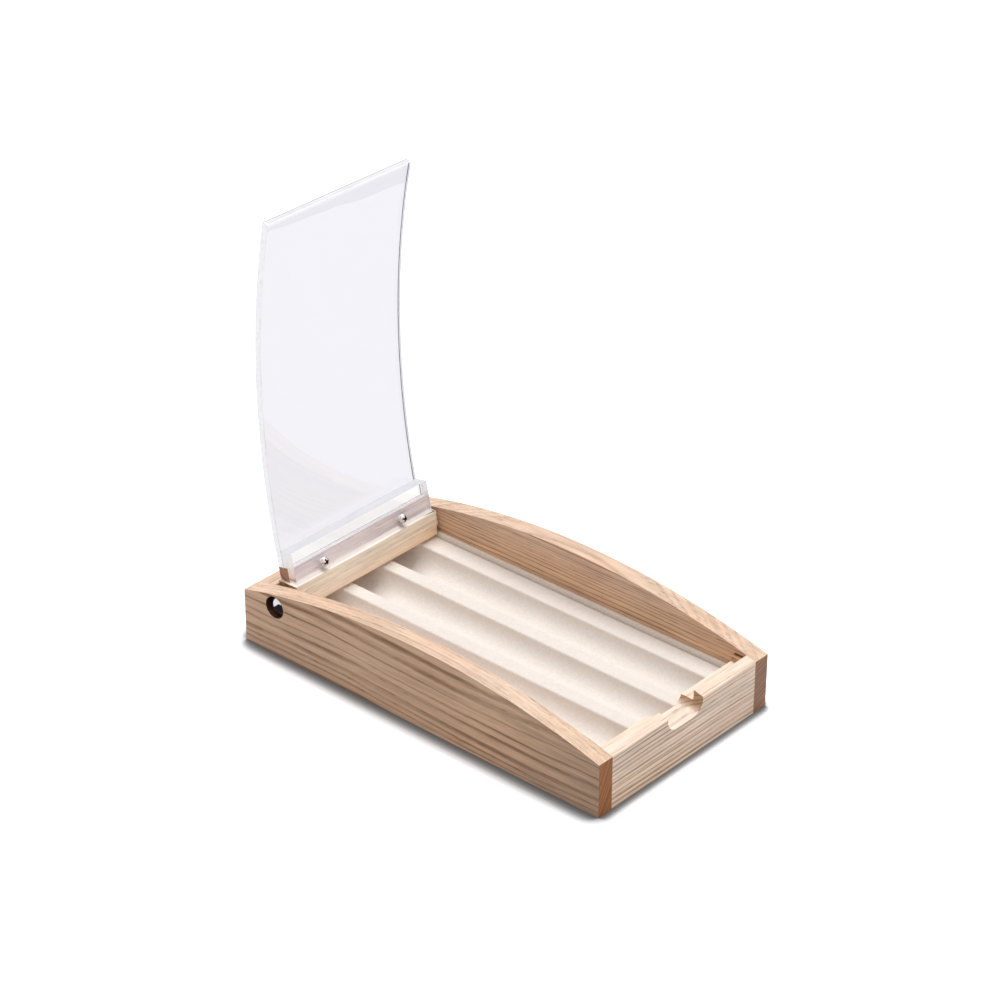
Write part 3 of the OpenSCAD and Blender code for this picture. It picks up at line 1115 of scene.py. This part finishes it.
# ---------------------------------------------------------------- the object
dress(side_wall(-1), "case", left_wood, "ash_side", "left_side_wall")
dress(side_wall(1), "case", right_wood, "ash_side", "right_side_wall")
dress(front_wall(), "case", front_wood, "ash_end", "front_wall")
dress(back_wall(), "case", back_wood, "ash_end", "back_wall")
dress(base_board(), "case", base_wood, "base_board", "base_panel")
dress(pen_tray(), "case", tray_flock, "flock", "pen_tray")
for side in (-1, 1):
    dress(packer(side), "case", packer_flock, "flock", hand(side) + "_tray_packer")
for side in (-1, 1):
    dress(hinge_pin(side), "case", chrome, "pin_chrome", hand(side) + "_hinge_pin")
for side in (-1, 1):
    dress(hinge_spacer(side), "case", bright_steel, "screw_steel", hand(side) + "_hinge_spacer")
dress(hinge_block(), "lid", block_wood, "ash_block", "hinge_block")
for side in (-1, 1):
    dress(lid_screw(side), "lid", bright_steel, "screw_steel", hand(side) + "_lid_screw")
for clear, acrylic, node in (
    (lid_sheet(), lid_acrylic, "lid_sheet"),
    (lid_strip(), strip_acrylic, "lid_strip"),
):
    dress(clear, "lid", acrylic, "clear_lid", node)
    clear.visible_shadow = False
    clear.visible_diffuse = False


# ---------------------------------------------------------------- floor, light and camera
def floor_material():
    """A white table top that keeps the case's shadow.

    The camera sees it bright enough for the wide, faint part of the shadow to stay white and
    darker close under the case, mirrors and clear plastic see it white, and the light that
    it throws back is that of pale board. The dark line under the case is wider along the
    left wall than along the front wall.
    """
    g = new_graph("table_white")
    path = g.add("LightPath").node
    camera = path.outputs["Is Camera Ray"]
    mirrored = g.math(
        "ADD", path.outputs["Is Glossy Ray"], path.outputs["Is Transmission Ray"], clamp=True
    )
    place = g.add("SeparateXYZ", {0: g.place()}).node
    towards_left = g.math("SUBTRACT", place.outputs["Y"], place.outputs["X"])
    corner = case_half - half_length
    beside = g.ramp(towards_left, corner - mm(8), corner + mm(8))
    reach = g.total(mm(6), g.product(beside, mm(4)))
    open_sky = g.add("AmbientOcclusion", {"Distance": reach}, output=1, samples=12)
    shadow_tint = (0.24, 0.25, 0.26, 1.0)
    white_tint = (1.46, 1.51, 1.58, 1.0)
    shown = g.mix(g.ramp(open_sky, 0.62, 1.0), shadow_tint, white_tint)
    lit = g.mix(mirrored, linear_grey(0.62), linear_grey(0.96))
    return g.finish(g.add("BsdfDiffuse", {"Color": g.mix(camera, lit, shown)}))


def flat_card(name, corners):
    """One level face through (x, y, z) corners."""
    builder = bmesh.new()
    builder.faces.new([builder.verts.new(corner) for corner in corners])
    return new_object(name, builder)


def add_floor():
    """The table top, a hair below the case so that the faces don't fight."""
    half = 3.0
    sunk = -mm(0.05)
    corners = [(-half, -half, sunk), (half, -half, sunk), (half, half, sunk), (-half, half, sunk)]
    table = flat_card("table_top", corners)
    table.data.materials.append(floor_material())


def add_flag(name, side):
    """A dark card on the table beside the case, which only mirrors see: it stands where the table lies
    in shade and paints that shade's dark reflection in the clear lid, the pins and the screws.
    """
    corners_mm = [(56, -43.8), (300, -49.4), (300, 150), (200, 140), (100, 118), (56, 112)]
    card = flat_card(name, [(side * mm(x), mm(y), mm(0.2)) for x, y in corners_mm])
    g = new_graph(name)
    card.data.materials.append(g.finish(g.add("BsdfDiffuse", {"Color": (0.02, 0.018, 0.02, 1.0)})))
    for ray in ("camera", "diffuse", "transmission", "shadow", "volume_scatter"):
        setattr(card, "visible_" + ray, False)


def add_world(ambient):
    """A world that looks white to the camera, mirrors and clear plastic, and lights dimly."""
    g = Graph(bpy.data.worlds.new("studio"))
    path = g.add("LightPath").node
    seen = g.math("ADD", path.outputs["Is Camera Ray"], path.outputs["Is Glossy Ray"])
    seen = g.math("ADD", seen, path.outputs["Is Transmission Ray"], clamp=True)
    strength = g.add("MapRange", {"Value": seen, "To Min": ambient, "To Max": 1.0})
    background = g.add("Background", {"Color": linear_grey(1.0), "Strength": strength})
    bpy.context.scene.world = g.finish(background)


def add_sun(name, towards_light, strength, spread_deg):
    """A sun whose light comes from the direction towards_light."""
    data = bpy.data.lights.new(name, "SUN")
    data.energy = strength
    data.angle = math.radians(spread_deg)
    sun = bpy.data.objects.new(name, data)
    sun.rotation_mode = "QUATERNION"
    sun.rotation_quaternion = Vector(towards_light).to_track_quat("Z", "Y")
    bpy.context.scene.collection.objects.link(sun)


def add_camera(place, azimuth_deg, elevation_deg, roll_deg, lens):
    """The camera at a place in metres, seen from the case at that azimuth and elevation."""
    azimuth = math.radians(azimuth_deg)
    elevation = math.radians(elevation_deg)
    level = math.cos(elevation)
    back = Vector((math.sin(azimuth) * level, -math.cos(azimuth) * level, math.sin(elevation)))
    upright = (-back).to_track_quat("-Z", "Y")
    data = bpy.data.cameras.new("camera")
    data.lens = lens
    data.sensor_width = 36
    data.clip_start = 0.05
    data.clip_end = 20
    camera = bpy.data.objects.new("camera", data)
    camera.location = place
    camera.rotation_mode = "QUATERNION"
    camera.rotation_quaternion = upright @ Quaternion((0, 0, 1), math.radians(roll_deg))
    bpy.context.scene.collection.objects.link(camera)
    bpy.context.scene.camera = camera


add_floor()
add_flag("left_flag", -1)
add_flag("right_flag", 1)
add_world(ambient=0.33)
add_sun("key_softbox", (0.22, 0.2, 0.95), strength=2.1, spread_deg=38)
add_sun("front_fill", (0.1, -0.8, 0.6), strength=0.6, spread_deg=90)
add_camera(
    place=(-0.85671, -0.75616, 0.74383),
    azimuth_deg=-48.55,
    elevation_deg=29.96,
    roll_deg=0.22,
    lens=114.03,
)
bpy.context.scene.view_settings.view_transform = "Standard"
